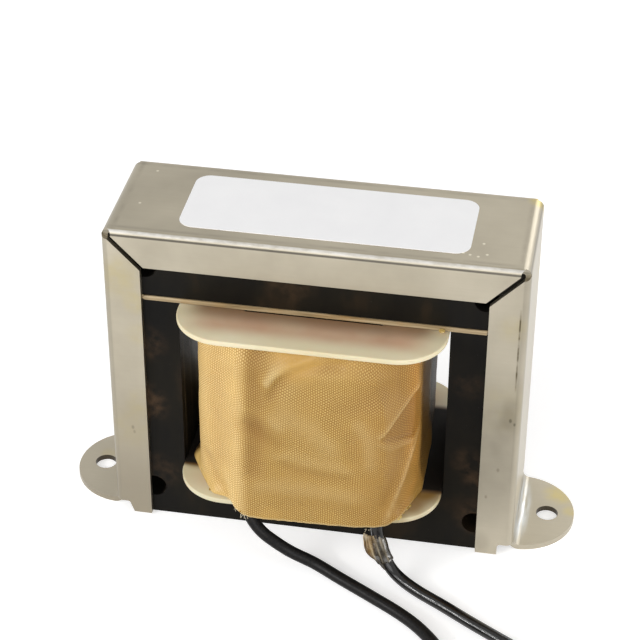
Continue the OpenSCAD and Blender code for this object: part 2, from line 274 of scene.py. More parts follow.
# 1 near the middle value, 0 further off than the outer distance
def strip(value, middle, outer, inner):
    return rise(calc("ABSOLUTE", calc("SUBTRACT", value, middle)), outer, inner)


# Distance to a point that is given in millimetres
def distance(source, point):
    return addNode(treeOf(source), "VectorMath", {1: [c * mm for c in point]}, {0: source},
                   operation="DISTANCE").outputs["Value"]


# A soft round spot: 1 in the middle, 0 outside its radius
def spot(source, centre, radius):
    return rise(distance(source, centre), radius * mm, 0.3 * radius * mm, interpolation_type="SMOOTHSTEP")


# Stains of one colour, each given as its centre, its radius and how much it covers
def stain(base, source, rows, color, ragged=1.0):
    for centre, radius, cover in rows:
        base = blend(times(spot(source, centre, radius), ragged, cover), base, color)
    return base


# A material that is mottled softly between two colours and two values of roughness. The grain is
# a noise's scale and detail, and how far and how strongly it stands out
def mottledMaterial(name, scale, detail, colors, roughs, grain=None, **plain):
    material, shader, spots = newMaterial(name, **plain)
    soft = cloud(spots, scale, detail)
    feed(shader, Base_Color=ramp(soft, *zip((0.3, 0.7), colors)))
    if roughs:
        feed(shader, Roughness=ramp(soft, *zip((0.3, 0.7), roughs)))
    if grain:
        bump(shader, cloud(spots, *grain[:2]), *grain[2:])
    return material


# Leads: the routes are the solids' own, in millimetres
leads = {
    "diameter": 2.7, "length": 200, "exitHeight": 12.8,
    "sides": 20, "step": 0.9, "rest": 1.4, "points": 42,
    "outerTurn": 15.55, "innerTurn": 11.9, "lastBend": 6.75, "lastTurn": 56.5,
    "left": {
        "route": [
            (-12, -24.5, 30), (-12, -24.5, 24), (-12, -24.5, 18), (-12, -24.5, 12.8),
            (-11.2, -25.1, 10.7), (-8.9, -26, 8.3), (-5.8, -26.1, 5.8), (-2.2, -26.3, 3.7),
            (2.9, -27.1, 2.1), (9.4, -30.4, 1.4), (16.6, -34.7, 1.4), (23, -38.7, 1.4),
            (27.8, -42.5, 1.4), (32.2, -47.4, 1.4), (36.3, -53.4, 1.4), (40.5, -60.5, 1.4),
        ],
        "coil": (27, -68.3), "entry": 30, "turn": 427.8,
    },
    "right": {
        "route": [
            (15.5, -24.5, 30), (15.5, -24.5, 24), (15.6, -24.5, 18), (15.8, -24.5, 12.8),
            (16.2, -24.9, 10.4), (17.2, -25.7, 7.6), (18.8, -26.7, 4.2), (21.4, -28.3, 2.2),
            (25.7, -31, 1.4), (31.9, -34.8, 1.4), (38, -38.7, 1.4), (44.6, -42.7, 1.4),
            (51, -46.5, 1.4), (57.3, -50.2, 1.4), (63.4, -53.8, 1.4), (69.6, -57.5, 1.4),
        ],
        "coil": (61.6, -70.8), "entry": 59, "turn": 431.8,
    },
}


def around(centre, radius, degrees, z):
    q = math.radians(degrees)
    return Vector((centre[0] + radius * math.cos(q), centre[1] + radius * math.sin(q), z))


# The route, then turns inside the ring, then a short bend towards its middle
def leadPoints(s, side):
    points = [Vector(p) for p in side["route"][:-1]]
    outer, inner, small = s["outerTurn"], s["innerTurn"], s["lastBend"]
    for k in range(s["points"] + 1):
        t = k / s["points"]
        reach = outer + (inner - outer) * t
        points.append(around(side["coil"], reach, side["entry"] - side["turn"] * t, s["rest"]))
    end = side["entry"] - side["turn"]
    hub = around(side["coil"], inner - small, end, s["rest"])
    for k in (1, 2, 3):
        points.append(around(hub, small, end - s["lastTurn"] * k / 3, s["rest"]))
    return points


def addLead(s, name):
    side = s[name]
    line = smoothLine([p * mm for p in leadPoints(s, side)], s["step"] * mm)
    lead = sweep("lead" + name.title(), line, s["diameter"] / 2 * mm, s["sides"])
    smooth(lead, 50)
    return lead, line


# Tinned strands, twisted, at the lead's bare end
strands = {"count": 7, "sides": 8, "thick": 0.42, "reach": 0.43, "pitch": 9, "length": 6, "hidden": 1.2}


def addStrands(s, name, line):
    ahead = (line[-1] - line[-3]).normalized()
    up = Vector((0, 0, 1))
    side = ahead.cross(up)
    start = line[-1] - ahead * s["hidden"] * mm
    whole = bmesh.new()
    steps = 20
    for n in range(s["count"]):
        reach = 0 if n == 0 else s["reach"] * mm
        path = []
        for k in range(steps + 1):
            gone = (s["length"] + s["hidden"]) * k / steps
            q = 2 * math.pi * (gone / s["pitch"] + n / (s["count"] - 1))
            path.append(start + ahead * gone * mm + (side * math.cos(q) + up * math.sin(q)) * reach)
        pourInto(whole, sweep("strand", path, s["thick"] / 2 * mm, s["sides"]))
    piece = fromBmesh(name, whole)
    smooth(piece, 60)
    return piece


leadLeft, leftLine = addLead(leads, "left")
leadRight, rightLine = addLead(leads, "right")
tipLeft = addStrands(strands, "strandsLeft", leftLine)
tipRight = addStrands(strands, "strandsRight", rightLine)
print("leads laid:", len(leftLine), "and", len(rightLine), "points")


# Lead jacket: black plastic, matte on the left lead, wet with varnish on the right one
def jacketMaterial(name, roughs, shine):
    material, shader, _ = newMaterial(name, IOR=1.5, Specular_IOR_Level=shine)
    uv = place(shader, "UV")
    lines = cloud(stretch(uv, (60, 9, 1)), 3, 3)
    dust = cloud(stretch(uv, (900, 4, 1)), 3, 5, 0.6)
    ticks = cloud(stretch(uv, (1900, 5, 1)), 1, 3, 0.6)
    feed(shader, Base_Color=ramp(dust, (0.45, (0.005, 0.005, 0.0055)), (0.75, (0.02, 0.017, 0.014))),
         Roughness=ramp(lines, *zip((0.3, 0.7), roughs)))
    bump(shader, calc("MULTIPLY_ADD", ticks, 0.6, lines), 0.00007, 0.5)
    return material


tinned = mottledMaterial("tinnedWire", 1500, 3, ((0.48, 0.47, 0.44), (0.72, 0.71, 0.68)), (0.3, 0.5),
                         Metallic=1.0)
finishPiece(leadLeft, jacketMaterial("matteJacket", (0.28, 0.44), 0.13), "lead_jacket",
            "lead_left", "lead_left_coil")
finishPiece(leadRight, jacketMaterial("wetJacket", (0.05, 0.08), 0.4), "lead_jacket",
            "lead_right", "lead_right_coil")
finishPiece(tipLeft, tinned, "tinned_wire", "lead_left_tip")
finishPiece(tipRight, tinned, "tinned_wire", "lead_right_tip")

# Varnish-stiff sleeve on the right lead: a snug skin, torn open into a flap on its left.
# The flap's free edge is given point by point, in millimetres
sleeveSet = {
    "from": 1.8, "to": 9.9, "gap": 0.05, "thick": 0.13, "columns": 26,
    "flap": [(13.3, -25.7, 11.1), (13.1, -25.8, 10.1), (13.3, -25.9, 8.7), (13.6, -26.2, 7.0),
             (14.3, -26.6, 6.0), (15.4, -27.0, 5.5), (16.3, -27.4, 4.9),
             (17.3, -27.9, 4.4), (18.2, -28.3, 3.6)],
    "flapThick": 0.28, "flapColumns": 8, "curl": 0.6, "root": (-0.5, -1.15, 0), "ripple": 0.16,
    "lump": 0.07, "dip": 0.16, "ragged": (0.9, 1.1),
    # a thicker collar: its distance from the upper end, half width and height
    "collar": (6.8, 0.7, 0.12),
}


def walkFrom(line, start, end):
    # the stretch of the lead between two distances below its exit
    high = leads["exitHeight"] * mm
    first = min(range(40), key=lambda i: abs(line[i].z - high))
    walk, gone = [], 0
    for a, b in zip(line[first:], line[first + 1:]):
        gone += (b - a).length
        if gone > end * mm:
            return walk
        if gone >= start * mm:
            walk.append(b)


def addSleeve(s, line):
    walk = smoothLine(walkFrom(line, s["from"], s["to"]), 0.3 * mm)
    inner = leads["diameter"] / 2 + s["gap"]

    def shape(gone, q):
        # towards both ends the skin dips under the jacket along a ragged line
        way = Vector((math.cos(q), math.sin(q), 0)) * 1.3
        lump = noise.noise(Vector((way.x, way.y, gone * 500)))
        ragged = s["ragged"][0] + s["ragged"][1] * noise.noise(way * 2.2)
        end = min(gone / mm - ragged, s["to"] - s["from"] - 0.4 - gone / mm - 0.8 * ragged)
        under = max(0, min(1, 0.5 - end / 0.5))
        at, width, height = s["collar"]
        collar = math.exp(-((gone / mm - at) / width) ** 2)
        return 1 + s["lump"] * lump + height * collar - s["dip"] * under

    whole = bmesh.new()
    pourInto(whole, sweep("skin", walk, (inner + s["thick"]) * mm, s["columns"], shape))
    uv = whole.loops.layers.uv.verify()
    for face in whole.faces:
        for loop in face.loops:
            loop[uv].uv.y *= 2 * math.pi * inner * mm

    # flap: rows from the lead's left side out to the free edge, curled towards the front
    free = smoothLine([Vector(p) * mm for p in s["flap"]], 0.4 * mm)
    body = walkFrom(line, 1.5, s["to"] + 3)
    rows = []
    for k, out in enumerate(free):
        near = min(body, key=lambda p: abs(p.z - out.z))
        root = near + Vector(s["root"]) * mm
        row = []
        for c in range(s["flapColumns"] + 1):
            t = c / s["flapColumns"]
            bulge = math.sin(math.pi * t) * s["curl"] * min(1, (out - root).length / (1.8 * mm))
            ripple = s["ripple"] * noise.noise(Vector((k * 0.35, t * 2.6, 5)))
            row.append(whole.verts.new(root.lerp(out, t) + Vector((0, -bulge - ripple, 0)) * mm))
        rows.append(row)
    made = []
    for r, (upper, lower) in enumerate(zip(rows, rows[1:])):
        for c in range(s["flapColumns"]):
            face = whole.faces.new((upper[c], lower[c], lower[c + 1], upper[c + 1]))
            for loop, (dr, dc) in zip(face.loops, ((0, 0), (1, 0), (1, 1), (0, 1))):
                loop[uv].uv = ((r + dr) * 0.4 * mm, 0.001 + (c + dc) * 0.3 * mm)
            made.append(face)
    bmesh.ops.recalc_face_normals(whole, faces=made)
    bmesh.ops.solidify(whole, geom=made, thickness=s["flapThick"] * mm)
    return fromBmesh("varnishSleeve", whole)


sleeve = addSleeve(sleeveSet, rightLine)
smooth(sleeve, 50)


def sleeveMaterial():
    material, shader, spots = newMaterial("brownVarnish", Transmission_Weight=0.15, IOR=1.5)
    streak = cloud(stretch(place(shader, "UV"), (90, 1400, 1)), 1, 1, 0.5)
    mottle = cloud(spots, 700, 4, 0.6)
    skin = ramp(streak, (0.36, (0.010, 0.008, 0.005)), (0.5, (0.055, 0.043, 0.024)),
                (0.66, (0.3, 0.25, 0.17)))
    flap = ramp(streak, (0.36, (0.02, 0.011, 0.004)), (0.48, (0.16, 0.092, 0.03)),
                (0.62, (0.46, 0.34, 0.17)))
    base = blend(rise(axes(spots)[0], 0.0164, 0.0148), skin, flap)
    # pale where the torn edge is thin
    rim = times(spot(spots, sleeveSet["flap"][0], 2.2), ramp(mottle, (0.35, 0.25), (0.6, 1.0)), 0.75)
    feed(shader, Base_Color=blend(rim, base, (0.55, 0.48, 0.34)),
         Roughness=ramp(mottle, (0.3, 0.12), (0.8, 0.4)))
    bump(shader, calc("MULTIPLY_ADD", mottle, 0.5, streak), 0.00016, 0.6)
    return material


finishPiece(sleeve, sleeveMaterial(), "varnish_sleeve", "lead_sleeve")

# Cloth tape round the coil. It is pulled over round pegs, each given as height, place along X
# and Y, and radius, in millimetres: the coil's corners, the two leads and the tape's own ridges
tapeSet = {
    "pegs": [
        [(56, -15.3, -14.9, 8.85), (44, -15.4, -14.9, 8.85), (24, -15.5, -14.9, 8.9),
         (15, -15.4, -15.0, 9.0)],
        [(56, 14.05, -14.9, 8.85), (24, 14.2, -14.9, 8.9), (15, 14.3, -15.0, 9.0)],
        [(56, -12.0, -21.9, 1.9), (50, -12.1, -24.1, 1.8), (43, -12.2, -25.0, 1.8), (15, -12.5, -25.1, 1.8)],
        [(56, 14.0, -21.9, 1.9), (50, 14.6, -23.9, 1.9), (42, 16.3, -25.3, 1.8), (36, 16.7, -25.5, 1.8),
         (29, 16.5, -25.4, 1.8), (15, 15.4, -25.1, 1.8)],
        [(56, 20.9, -18.2, 1.6), (48, 21.5, -18.8, 1.5), (37, 21.6, -19.3, 1.4), (32, 21.0, -20.9, 1.4),
         (20.4, 18.9, -24.6, 1.4), (15, 18.2, -25.4, 1.3)],
        [(56, -22.0, -13.4, 1.2), (22, -22.6, -13.3, 1.4), (18.8, -23.5, -12.8, 1.3),
         (16, -26.0, -11.6, 1.2)],
        [(56, -13.5, -20.6, 1.2), (22, -14.5, -22.9, 1.4), (18.6, -16.6, -23.2, 1.3),
         (16, -19.4, -23.3, 1.2)],
        [(56, 21.0, -13.5, 1.2), (23, 21.5, -14.0, 1.3), (18.6, 22.1, -14.6, 1.3), (16, 23.1, -15.0, 1.2)],
        [(56, 14.0, -22.0, 1.2), (20.4, 18.4, -24.0, 1.2), (16, 19.8, -24.9, 1.2)],
        [(56, 21.8, 2, 1.1), (22, 21.9, 2, 1.1), (16, 22.9, 2, 1.1)],
        [(56, -21.9, 2, 1.1), (22, -21.9, 2, 1.1), (16, -22.9, 2, 1.1)],
        [(56, 14.2, 14.9, 8.85), (15, 14.2, 14.9, 8.85)],
        [(56, -14.2, 14.9, 8.85), (15, -14.2, 14.9, 8.85)],
    ],
    "pegSides": 40, "spineX": 14.2, "spineY": 14.9,
    "rows": 76,
    "front": 76, "corner": 26, "side": 24, "backCorner": 14, "backSide": 36,
    "thick": 0.45, "threadHeight": 35, "top": 55.82, "sill": 15.98, "lip": -25.98, "closer": 0.06,
    "frontFrom": 13, "frontDepth": 7,
    # soft waves: height, and how tight they are across and up
    "waves": [(0.2, 0.15, 0.12), (0.06, 0.5, 0.45)],
    "calm": 2.0,
    "ragged": 0.12, "wearAndSheen": 1.3, "wornWidth": 0.6,
    # the end of the last turn, a step on the back
    "endFrom": 20, "endX": 3.5, "endStep": 0.28, "endSharp": 9,
    # lower edge of the skirt: place along X and height
    "hem": [(-18.0, 15.8), (-15.6, 15.2), (-14.3, 14.0), (-13.0, 12.9), (-11.2, 12.4), (-3, 12.6),
            (5, 12.8), (10, 13.0), (15, 13.5), (18, 14.2), (19.5, 15.2), (20.6, 15.9)],
}


def between(table, x, column=1):
    # soft steps in a table whose first column rises or falls
    rows = sorted(table)
    if x <= rows[0][0]:
        return rows[0][column]
    for a, b in zip(rows, rows[1:]):
        if x <= b[0]:
            t = (x - a[0]) / (b[0] - a[0])
            return a[column] + (b[column] - a[column]) * t * t * (3 - 2 * t)
    return rows[-1][column]


# Outline that a band pulled round all the pegs takes at one height
def bandAt(s, z):
    points = []
    for peg in s["pegs"]:
        x, y, r = (between(peg, z, c) for c in (1, 2, 3))
        for k in range(s["pegSides"]):
            q = 2 * math.pi * k / s["pegSides"]
            points.append((x + r * math.cos(q), y + r * math.sin(q)))
    points.sort()

    def half(row):
        out = []
        for p in row:
            while len(out) > 1 and ((out[-1][0] - out[-2][0]) * (p[1] - out[-2][1])
                                    - (out[-1][1] - out[-2][1]) * (p[0] - out[-2][0])) <= 0:
                out.pop()
            out.append(p)
        return out[:-1]

    return half(points) + half(points[::-1])


# Rays from the coil's middle, the same count and order at every height
def tapeRays(s):
    x, y = s["spineX"], s["spineY"]
    rays = []

    def side(a, b, out, count):
        for k in range(count):
            t = k / count
            rays.append(((a[0] + (b[0] - a[0]) * t, a[1] + (b[1] - a[1]) * t), out))

    def fan(at, start, count):
        for k in range(count):
            q = math.radians(start + 90 * k / count)
            rays.append((at, (math.cos(q), math.sin(q))))

    side((-x, -y), (x, -y), (0, -1), s["front"])
    fan((x, -y), -90, s["corner"])
    side((x, -y), (x, y), (1, 0), s["side"])
    fan((x, y), 0, s["backCorner"])
    side((x, y), (-x, y), (0, 1), s["backSide"])
    fan((-x, y), 90, s["backCorner"])
    side((-x, y), (-x, -y), (-1, 0), s["side"])
    fan((-x, -y), 180, s["corner"])
    return rays


def tapeOutline(s, rays, z):
    band = bandAt(s, z)
    edges = list(zip(band, band[1:] + band[:1]))
    points, at = [], 0
    for (ox, oy), (dx, dy) in rays:
        for step in range(len(edges)):   # the last edge hit is the likely next one
            (ax, ay), (bx, by) = edges[(at + step) % len(edges)]
            ex, ey = bx - ax, by - ay
            cross = dx * ey - dy * ex
            if abs(cross) < 1e-9:
                continue
            t = ((ax - ox) * ey - (ay - oy) * ex) / cross
            u = ((ax - ox) * dy - (ay - oy) * dx) / cross
            if t > 0 and -1e-6 <= u <= 1 + 1e-6:
                at = (at + step) % len(edges)
                points.append((ox + dx * t, oy + dy * t))
                break
    return points


# Folds on the front: each line's points, half width and height, and a mark on the sharp ones
folds = [
    ([(-12.8, 55), (-12.7, 45), (-13.2, 35.5), (-13.7, 26), (-13.3, 15)], 1.3, 0.16),
    ([(-10.2, 54), (-10.0, 45.6), (-9.9, 36), (-10.7, 25)], 2.2, -0.6),
    ([(-6.6, 45.0), (-5.2, 48.4), (-3.1, 50.4), (1.1, 52.1), (7.5, 53.2)], 1.0, -0.5),
    ([(-7.6, 48.2), (-5.6, 50.9), (-3.0, 52.7), (1.6, 54.6)], 1.2, 0.75),
    ([(-3.6, 45.5), (-1.6, 48.8), (2.4, 50.8), (8, 51.8)], 1.6, 0.1),
    ([(-12.1, 37.2), (-8.5, 35.2), (-5.7, 33.0)], 2.0, -0.42),
    ([(-11.5, 41.5), (-8.0, 40.0), (-5.2, 38.0)], 1.7, 0.25),
    ([(-3.6, 27.9), (-0.4, 26.7), (3.8, 26.1), (9.6, 25.9)], 1.3, -0.3),
    ([(-6.0, 31.0), (1.0, 29.6), (9.0, 28.6)], 2.0, 0.18),
    ([(-9.0, 22.0), (0.0, 22.2), (11.0, 21.4)], 2.2, 0.18),
    ([(-5.0, 17.6), (3.0, 18.2), (12.0, 17.4)], 1.6, -0.14),
    ([(16.6, 38.4), (19.6, 42.0), (23.6, 47.4)], 0.5, 0.55, "sharp"),
    ([(16.6, 36.4), (19.4, 34.4), (23.4, 33.4)], 0.6, 0.22, "sharp"),
    ([(24.0, 35.1), (22.3, 31.4), (21.2, 25.9), (19.4, 20.8), (18.0, 15.4)], 0.5, 0.5, "sharp"),
    ([(20.4, 32.6), (19.4, 26.6), (17.4, 20.0)], 1.0, -0.3),
    ([(12.0, 40.4), (14.0, 37.0), (14.2, 31.0)], 1.8, 0.22),
    ([(8.0, 44.0), (11.6, 45.4), (16.4, 48.4)], 2.4, -0.3),
    ([(6.4, 39.4), (10.2, 36.6), (11.4, 31.8)], 2.2, -0.16),
    ([(-3.6, 41.0), (1.5, 38.4), (6.0, 34.6)], 2.8, 0.2),
    ([(19.3, 54), (19.5, 50), (19.9, 46.0)], 0.4, -0.3, "sharp"),
    ([(22.9, 55), (23.1, 48), (23.3, 40.8), (23.5, 35.6)], 0.3, 0.3, "sharp"),
    ([(-18.6, 52), (-19.2, 38), (-18.4, 24)], 2.2, -0.25),
    ([(-16.8, 23.0), (-15.4, 18.4), (-14.4, 13.8)], 0.9, 0.3),
    ([(-21.6, 24.5), (-19.3, 20.0), (-17.0, 16.6)], 1.0, -0.35),
]

# Flat dent beside the right splice: its corner, the two edges that leave it, its slope, and the painted shade
# inside it
dent = {
    "corner": (16.3, 37.4), "upper": (23.8, 47.6), "lower": (24.0, 33.6), "slope": 0.26, "deepest": 0.62,
    "soft": 0.6, "darker": 0.55, "darkSoft": 0.4,
}


def distanceTo(x, z, line):
    best = 1e9
    for (x0, z0), (x1, z1) in zip(line, line[1:]):
        dx, dz = x1 - x0, z1 - z0
        t = max(0, min(1, ((x - x0) * dx + (z - z0) * dz) / (dx * dx + dz * dz)))
        best = min(best, math.hypot(x - x0 - dx * t, z - z0 - dz * t))
    return best


def sideOf(x, z, a, b):
    dx, dz = b[0] - a[0], b[1] - a[1]
    return ((z - a[1]) * dx - (x - a[0]) * dz) / math.hypot(dx, dz)


# Height that the folds add at a place on the front, and the painted light and shade of the cloth there
def foldHeight(x, z):
    total = 0
    for line, width, height, *sharp in folds:
        gap = distanceTo(x, z, line) / width
        if gap < 4:
            total += height * (math.exp(-1.5 * gap) if sharp else math.exp(-gap * gap))
    d = dent
    light = total
    inside = min(-sideOf(x, z, d["corner"], d["upper"]), sideOf(x, z, d["corner"], d["lower"]))
    if inside > 0:
        total -= min(d["deepest"], d["slope"] * (x - d["corner"][0])) * min(1, inside / d["soft"])
        light -= d["darker"] * min(1, inside / d["darkSoft"])
    return total, light


def addTape(s):
    mesh = bmesh.new()
    uv = mesh.loops.layers.uv.new("UVMap")
    shade = mesh.verts.layers.float.new("shade")
    rays = tapeRays(s)
    count = len(rays)
    sill = tapeOutline(s, rays, s["sill"])
    # heights differ only where the skirt hangs over the flange, so outlines are kept by height
    kept = {}
    middle = tapeOutline(s, rays, s["threadHeight"])
    across = [0]
    for a, b in zip(middle, middle[1:] + middle[:1]):
        across.append(across[-1] + math.dist(a, b) * mm)
    grid, flat = [], []
    for row in range(s["rows"] + 1):
        t = row / s["rows"]
        t = t + s["closer"] * math.sin(2 * math.pi * t)   # closer rows towards both edges
        ring, marks = [], []
        for column in range(count):
            low = s["sill"]
            x0, y0 = sill[column]
            if y0 < s["lip"]:
                low = between(s["hem"], x0) + s["ragged"] * noise.noise(Vector((x0 * 0.9, 3, 0)))
            z = round(s["top"] + (low - s["top"]) * t, 2)
            if z not in kept:
                kept[z] = tapeOutline(s, rays, z)
            band = kept[z]
            x, y = band[column]
            before, after = band[column - 1], band[(column + 1) % count]
            dx, dy = after[0] - before[0], after[1] - before[1]
            size = math.hypot(dx, dy)
            front = max(0, min(1, (-y - s["frontFrom"]) / s["frontDepth"]))
            fold, light = foldHeight(x, z)
            push = front * fold
            light = front * light + s["wearAndSheen"] * max(0, 1 - (z - low) / s["wornWidth"])
            for height, wide, tall in s["waves"]:
                push += height * noise.noise(Vector((x * wide, y * wide, z * tall)))
            push *= min(1, max(0, (s["top"] - z) / s["calm"])) ** 0.7
            if y > s["endFrom"]:
                push += s["endStep"] / (1 + math.exp(-(x - s["endX"]) * s["endSharp"]))
            point = mesh.verts.new(Vector((x + dy / size * push, y - dx / size * push, z)) * mm)
            point[shade] = light
            ring.append(point)
            marks.append(z * mm)
        grid.append(ring)
        flat.append(marks)
    for row in range(s["rows"]):
        for column in range(count):
            n = (column + 1) % count
            face = mesh.faces.new((grid[row + 1][column], grid[row + 1][n], grid[row][n], grid[row][column]))
            corners = ((row + 1, column), (row + 1, column + 1), (row, column + 1), (row, column))
            for loop, (r, c) in zip(face.loops, corners):
                loop[uv].uv = (across[c], flat[r][c % count])
    tape = fromBmesh("coilTape", mesh)
    wall = tape.modifiers.new("wall", "SOLIDIFY")
    wall.thickness, wall.offset = s["thick"] * mm, -1
    soft = tape.modifiers.new("soft", "SUBSURF")
    soft.levels = soft.render_levels = 1
    applyModifiers(tape)
    smooth(tape, 60)
    return tape


# Loose threads along the tape's edges: where they start, how many, how far and which way they stand
frays = [
    ((-14.0, -26.4, 14.3), 3, 0.7, (-0.4, -0.6, -0.5)), ((-12.6, -26.9, 13.1), 6, 0.9, (0.1, -0.8, -0.6)),
    ((-17.2, -25.3, 15.9), 3, 0.6, (-0.7, -0.5, -0.3)), ((14.6, -27.0, 13.4), 4, 0.7, (-0.3, -0.9, 0.3)),
    ((-7.6, -23.0, 55.3), 5, 0.8, (-0.3, -0.8, 0.3)), ((-2.0, -23.4, 55.4), 4, 0.7, (0.3, -0.9, 0.2)),
    ((4.0, -23.4, 55.4), 3, 0.7, (0.4, -0.9, 0.1)),
]


fraySet = {"thick": 0.04, "sides": 6, "step": 0.2, "seed": 11, "shade": 2}


def addFrays(tape, rows, s):
    whole = bmesh.new()
    whole.from_mesh(tape.data)
    draw = random.Random(s["seed"])
    shade = whole.verts.layers.float["shade"]
    sheet = len(whole.verts)
    for start, count, reach, way in rows:
        for _ in range(count):
            at = Vector([c + draw.uniform(-0.7, 0.7) * w for c, w in zip(start, (1, 0.1, 0.15))])
            out = Vector([c + draw.uniform(-0.5, 0.5) for c in way]).normalized()
            out = out * reach * draw.uniform(0.5, 1)
            droop = Vector((draw.uniform(-0.3, 0.3), draw.uniform(-0.2, 0.1), draw.uniform(-0.4, 0.2)))
            bend, end = at + out * 0.5 + droop * 0.3, at + out + droop
            line = smoothLine([at * mm, bend * mm, end * mm], s["step"] * mm)
            pourInto(whole, sweep("thread", line, s["thick"] * mm, s["sides"]))
    whole.verts.ensure_lookup_table()
    for vert in whole.verts[sheet:]:
        vert[shade] = s["shade"]
    whole.to_mesh(tape.data)
    whole.free()
    smooth(tape, 60)


tape = addTape(tapeSet)
addFrays(tape, frays, fraySet)
print("tape wrapped:", len(tape.data.polygons), "faces")


# Varnished glass cloth: a plain weave seen through amber varnish
weave = {
    "column": 0.46, "dash": 0.6, "slant": 0.07, "facetSlant": -0.55, "facetFrom": 0.148,
    "gap": (0.34, 0.185, 0.045), "body": (0.6, 0.385, 0.125), "crown": (0.9, 0.7, 0.36),
    "aged": (0.38, 0.22, 0.06), "creaseShade": (0.55, 0.42, 0.28), "wearAndPaintedLight": (0.86, 0.7, 0.38),
    "thread": (0.8, 0.74, 0.56), "windowShadeBrown": (0.13, 0.065, 0.02),
    "rough": 0.52, "wetRough": 0.22,
    # the varnish itself, from the left side to the right one
    "varnish": [(0.0, (0.6, 0.4, 0.13)), (0.4, (0.47, 0.28, 0.07)), (0.85, (0.4, 0.23, 0.05)),
                (1.0, (0.26, 0.15, 0.035))],
    # how the cloth darkens from left to right, partly varnish and partly painted shade, lightest on the left
    # facet that faces the light: place along X and tint
    "shadeAndTints": [(-14.4, (1.0, 1.0, 0.98)), (-11.4, (0.63, 0.57, 0.41)), (-7, (0.6, 0.54, 0.37)),
              (8, (0.62, 0.56, 0.39)), (14, (0.58, 0.5, 0.33)), (20.5, (0.49, 0.385, 0.205)),
              (22.6, (0.6, 0.42, 0.17))],
    # the right side from front to back
    "brownAndShade": [(0.2, (0.62, 0.36, 0.1)), (0.62, (0.44, 0.23, 0.055)), (0.82, (0.034, 0.018, 0.005))],
    # pools of clear varnish: place and radius in millimetres, and how much they cover
    "pools": [((-1, -24, 54.8), 8, 0.95), ((8, -25, 56), 7, 0.5), ((-26, -13.5, 16), 6.5, 0.95),
              ((-22.5, -19.5, 16), 5, 0.95), ((-19, -24, 15.6), 3.4, 0.7), ((24, -17, 14), 7, 0.95),
              ((-7, -27, 14), 3, 0.3), ((22.5, -19, 23), 4, 0.35)],
    # painted shade on the left skirt next to the window: place, radius and how much it covers
    "windowShade": [((-28, -9.5, 16.5), 5.5, 0.85)],
}


def clothMaterial(s):
    material, shader, spots = newMaterial("varnishedCloth", IOR=1.5, Specular_IOR_Level=0.3)
    along, up, _ = axes(place(shader, "UV"))
    x, y, _ = axes(spots)
    wander = calc("MULTIPLY_ADD", cloud(spots, 130, 2), 10, times(cloud(spots, 900, 2), 1.6))
    turn = math.pi / (s["column"] * mm)
    warp = calc("MULTIPLY_ADD", along, turn, wander)
    # the rows climb on the left facet
    facet = calc("MAXIMUM", calc("SUBTRACT", along, s["facetFrom"]), 0.0)
    lean = calc("ADD", wander, times(facet, s["facetSlant"] * turn))
    weft = calc("MULTIPLY_ADD", up, 2 * math.pi / (s["dash"] * mm),
                calc("MULTIPLY_ADD", warp, s["slant"], lean))
    # bright threads show in short dashes, side by side in turn
    wave = calc("SINE", warp)
    crisp = ramp(cloud(spots, 210, 3), (0.3, 0.18), (0.65, 0.42))
    threads = calc("MULTIPLY_ADD", calc("ABSOLUTE", wave), 0.42, 0.2)
    height = calc("MULTIPLY_ADD", times(wave, calc("SINE", weft)), crisp, threads)
    base = ramp(height, (0.1, s["gap"]), (0.45, s["body"]), (0.85, s["crown"]))
    half = s["shadeAndTints"][-1][0]
    across = rise(x, -half * mm, half * mm)
    base = tinted(base, ramp(across, *[((at + half) / (2 * half), tint) for at, tint in s["shadeAndTints"]]))
    old = ramp(cloud(spots, 75, 4, 0.6), (0.4, 0.0), (0.72, 1.0))
    base = blend(times(old, 0.3), base, s["aged"])
    # painted shade in the creases and painted light on the ridges, the worn pale hem, and pale loose threads
    relief = addNode(shader.id_data, "Attribute", attribute_name="shade").outputs["Fac"]
    base = blend(times(rise(relief, 0.0, -0.9), 0.62), base, tinted(base, s["creaseShade"]))
    base = blend(times(rise(relief, 0.0, 1.0), 0.38), base, s["wearAndPaintedLight"])
    base = blend(rise(relief, 1.4, 1.9), base, s["thread"])
    wet = 0.0
    for centre, radius, cover in s["pools"]:
        wet = calc("MAXIMUM", times(spot(spots, centre, radius), cover), wet)
    base = blend(wet, base, ramp(across, *s["varnish"]))
    # the right side went brown in the core's own varnish, then turns black further back into the window as
    # painted shade
    back = rise(y, -0.0175, 0.012)
    brownAndShade = times(rise(x, 0.0212, 0.0226), ramp(back, (0.04, 0.0), (0.35, 0.55), (0.7, 1.0)))
    base = blend(brownAndShade, base, ramp(back, *s["brownAndShade"]))
    # painted shade on the left skirt beside the window
    base = stain(base, spots, s["windowShade"], s["windowShadeBrown"])
    feed(shader, Base_Color=base, Roughness=calc("MULTIPLY_ADD", wet, s["wetRough"] - s["rough"], s["rough"]))
    bump(shader, times(height, calc("MULTIPLY_ADD", wet, -0.7, 1.0)), 0.0001, 0.8)
    return material


finishPiece(tape, clothMaterial(weave), "cloth_tape", "outer_wrap")

# Drops of clear varnish: place and size in millimetres
dropSet = {
    "rows": [((26.9, -14.6, 57.75), 0.5), ((21.9, -22.2, 16.15), 0.3), ((22.4, -21.1, 16.15), 0.32),
             ((22.2, -21.7, 16.1), 0.22), ((20.9, -24.8, 16.0), 0.32), ((20.6, -25.4, 15.9), 0.32),
             ((21.4, -23.6, 16.1), 0.18), ((-20.7, -23.3, 16.1), 0.26), ((-13.4, -26.8, 13.9), 0.22)],
    "shape": (1.1, 1.5, 0.7), "uneven": 0.5, "grain": 2600,
}


